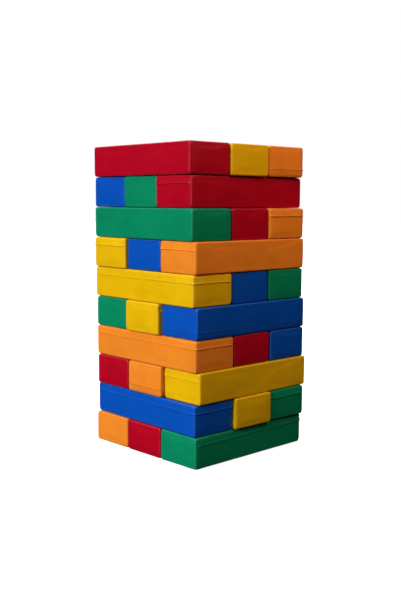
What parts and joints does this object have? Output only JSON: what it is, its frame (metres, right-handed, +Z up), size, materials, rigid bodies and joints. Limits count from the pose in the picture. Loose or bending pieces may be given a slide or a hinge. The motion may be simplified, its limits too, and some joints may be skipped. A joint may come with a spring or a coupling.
{
  "type": "giant tumbling tower",
  "caption": "Waist-high stack of soft foam blocks in zipped leatherette covers, laid side by side in layers that cross one another, in bright colours; single blocks pull out.",
  "frame": {"origin": "on the floor under the middle of the tower's bounding box", "axes": "+Z up; the long sides of the bottom, third, fifth, seventh and ninth layers' blocks run along Y, those of the other layers along X; the picture looks at the -Y face on its left and the +X face on its right"},
  "size_m": [0.642, 0.6334, 1.2136],
  "materials": {
    "red_leatherette": "smooth semi-gloss leatherette",
    "yellow_leatherette": "smooth semi-gloss leatherette",
    "orange_leatherette": "smooth semi-gloss leatherette",
    "blue_leatherette": "smooth semi-gloss leatherette",
    "green_leatherette": "smooth semi-gloss leatherette",
    "foam": "firm open-cell foam"
  },
  "bodies": {
    "l01a_green": {"l01a_green_cover": "green_leatherette", "l01a_green_core": "foam"},
    "l01b_red": {"l01b_red_cover": "red_leatherette", "l01b_red_core": "foam"},
    "l01c_orange": {"l01c_orange_cover": "orange_leatherette", "l01c_orange_core": "foam"},
    "l02a_blue": {"l02a_blue_cover": "blue_leatherette", "l02a_blue_core": "foam"},
    "l02b_yellow": {"l02b_yellow_cover": "yellow_leatherette", "l02b_yellow_core": "foam"},
    "l02c_green": {"l02c_green_cover": "green_leatherette", "l02c_green_core": "foam"},
    "l03a_yellow": {"l03a_yellow_cover": "yellow_leatherette", "l03a_yellow_core": "foam"},
    "l03b_orange": {"l03b_orange_cover": "orange_leatherette", "l03b_orange_core": "foam"},
    "l03c_red": {"l03c_red_cover": "red_leatherette", "l03c_red_core": "foam"},
    "l04a_orange": {"l04a_orange_cover": "orange_leatherette", "l04a_orange_core": "foam"},
    "l04b_red": {"l04b_red_cover": "red_leatherette", "l04b_red_core": "foam"},
    "l04c_blue": {"l04c_blue_cover": "blue_leatherette", "l04c_blue_core": "foam"},
    "l05a_blue": {"l05a_blue_cover": "blue_leatherette", "l05a_blue_core": "foam"},
    "l05b_yellow": {"l05b_yellow_cover": "yellow_leatherette", "l05b_yellow_core": "foam"},
    "l05c_green": {"l05c_green_cover": "green_leatherette", "l05c_green_core": "foam"},
    "l06a_yellow": {"l06a_yellow_cover": "yellow_leatherette", "l06a_yellow_core": "foam"},
    "l06b_blue": {"l06b_blue_cover": "blue_leatherette", "l06b_blue_core": "foam"},
    "l06c_green": {"l06c_green_cover": "green_leatherette", "l06c_green_core": "foam"},
    "l07a_orange": {"l07a_orange_cover": "orange_leatherette", "l07a_orange_core": "foam"},
    "l07b_blue": {"l07b_blue_cover": "blue_leatherette", "l07b_blue_core": "foam"},
    "l07c_yellow": {"l07c_yellow_cover": "yellow_leatherette", "l07c_yellow_core": "foam"},
    "l08a_green": {"l08a_green_cover": "green_leatherette", "l08a_green_core": "foam"},
    "l08b_red": {"l08b_red_cover": "red_leatherette", "l08b_red_core": "foam"},
    "l08c_orange": {"l08c_orange_cover": "orange_leatherette", "l08c_orange_core": "foam"},
    "l09a_red": {"l09a_red_cover": "red_leatherette", "l09a_red_core": "foam"},
    "l09b_green": {"l09b_green_cover": "green_leatherette", "l09b_green_core": "foam"},
    "l09c_blue": {"l09c_blue_cover": "blue_leatherette", "l09c_blue_core": "foam"},
    "l10a_red": {"l10a_red_cover": "red_leatherette", "l10a_red_core": "foam"},
    "l10b_yellow": {"l10b_yellow_cover": "yellow_leatherette", "l10b_yellow_core": "foam"},
    "l10c_orange": {"l10c_orange_cover": "orange_leatherette", "l10c_orange_core": "foam"}
  },
  "joints": [
    {"name": "l01a_green_slide", "type": "slide", "parent": "l01b_red", "child": "l01a_green", "axis": [-0.0175, 0.9998, 0], "range_m": [-0.63, 0.63]},
    {"name": "l01c_orange_slide", "type": "slide", "parent": "l01b_red", "child": "l01c_orange", "axis": [-0.0175, 0.9998, 0], "range_m": [-0.63, 0.63]},
    {"name": "l02a_blue_slide", "type": "slide", "parent": "l01b_red", "child": "l02a_blue", "axis": [1, -0.0087, 0], "range_m": [-0.63, 0.63]},
    {"name": "l02b_yellow_slide", "type": "slide", "parent": "l01b_red", "child": "l02b_yellow", "axis": [1, -0.0087, 0], "range_m": [-0.63, 0.63]},
    {"name": "l02c_green_slide", "type": "slide", "parent": "l01b_red", "child": "l02c_green", "axis": [1, -0.0087, 0], "range_m": [-0.63, 0.63]},
    {"name": "l03a_yellow_slide", "type": "slide", "parent": "l01b_red", "child": "l03a_yellow", "axis": [-0.0105, 0.9999, 0], "range_m": [-0.63, 0.63]},
    {"name": "l03b_orange_slide", "type": "slide", "parent": "l01b_red", "child": "l03b_orange", "axis": [-0.0105, 0.9999, 0], "range_m": [-0.63, 0.63]},
    {"name": "l03c_red_slide", "type": "slide", "parent": "l01b_red", "child": "l03c_red", "axis": [-0.0105, 0.9999, 0], "range_m": [-0.63, 0.63]},
    {"name": "l04a_orange_slide", "type": "slide", "parent": "l01b_red", "child": "l04a_orange", "axis": [1, 0.007, 0], "range_m": [-0.63, 0.63]},
    {"name": "l04b_red_slide", "type": "slide", "parent": "l01b_red", "child": "l04b_red", "axis": [1, 0.007, 0], "range_m": [-0.63, 0.63]},
    {"name": "l04c_blue_slide", "type": "slide", "parent": "l01b_red", "child": "l04c_blue", "axis": [1, 0.007, 0], "range_m": [-0.63, 0.63]},
    {"name": "l05a_blue_slide", "type": "slide", "parent": "l01b_red", "child": "l05a_blue", "axis": [-0.007, 1, 0], "range_m": [-0.63, 0.63]},
    {"name": "l05b_yellow_slide", "type": "slide", "parent": "l01b_red", "child": "l05b_yellow", "axis": [-0.007, 1, 0], "range_m": [-0.63, 0.63]},
    {"name": "l05c_green_slide", "type": "slide", "parent": "l01b_red", "child": "l05c_green", "axis": [-0.007, 1, 0], "range_m": [-0.63, 0.63]},
    {"name": "l06a_yellow_slide", "type": "slide", "parent": "l01b_red", "child": "l06a_yellow", "axis": [1, -0.007, 0], "range_m": [-0.63, 0.63]},
    {"name": "l06b_blue_slide", "type": "slide", "parent": "l01b_red", "child": "l06b_blue", "axis": [1, -0.007, 0], "range_m": [-0.63, 0.63]},
    {"name": "l06c_green_slide", "type": "slide", "parent": "l01b_red", "child": "l06c_green", "axis": [1, -0.007, 0], "range_m": [-0.63, 0.63]},
    {"name": "l07a_orange_slide", "type": "slide", "parent": "l01b_red", "child": "l07a_orange", "axis": [-0.0052, 1, 0], "range_m": [-0.63, 0.63]},
    {"name": "l07b_blue_slide", "type": "slide", "parent": "l01b_red", "child": "l07b_blue", "axis": [-0.0052, 1, 0], "range_m": [-0.63, 0.63]},
    {"name": "l07c_yellow_slide", "type": "slide", "parent": "l01b_red", "child": "l07c_yellow", "axis": [-0.0052, 1, 0], "range_m": [-0.63, 0.63]},
    {"name": "l08a_green_slide", "type": "slide", "parent": "l01b_red", "child": "l08a_green", "axis": [0.9999, -0.0122, 0], "range_m": [-0.63, 0.63]},
    {"name": "l08b_red_slide", "type": "slide", "parent": "l01b_red", "child": "l08b_red", "axis": [0.9999, -0.0122, 0], "range_m": [-0.63, 0.63]},
    {"name": "l08c_orange_slide", "type": "slide", "parent": "l01b_red", "child": "l08c_orange", "axis": [0.9999, -0.0122, 0], "range_m": [-0.63, 0.63]},
    {"name": "l09a_red_slide", "type": "slide", "parent": "l01b_red", "child": "l09a_red", "axis": [0, 1, 0], "range_m": [-0.63, 0.63]},
    {"name": "l09b_green_slide", "type": "slide", "parent": "l01b_red", "child": "l09b_green", "axis": [0, 1, 0], "range_m": [-0.63, 0.63]},
    {"name": "l09c_blue_slide", "type": "slide", "parent": "l01b_red", "child": "l09c_blue", "axis": [0, 1, 0], "range_m": [-0.63, 0.63]},
    {"name": "l10a_red_lift", "type": "slide", "parent": "l01b_red", "child": "l10a_red", "axis": [0, 0, 1], "range_m": [0, 0.18]},
    {"name": "l10b_yellow_lift", "type": "slide", "parent": "l01b_red", "child": "l10b_yellow", "axis": [0, 0, 1], "range_m": [0, 0.18]},
    {"name": "l10c_orange_lift", "type": "slide", "parent": "l01b_red", "child": "l10c_orange", "axis": [0, 0, 1], "range_m": [0, 0.18]}
  ]
}
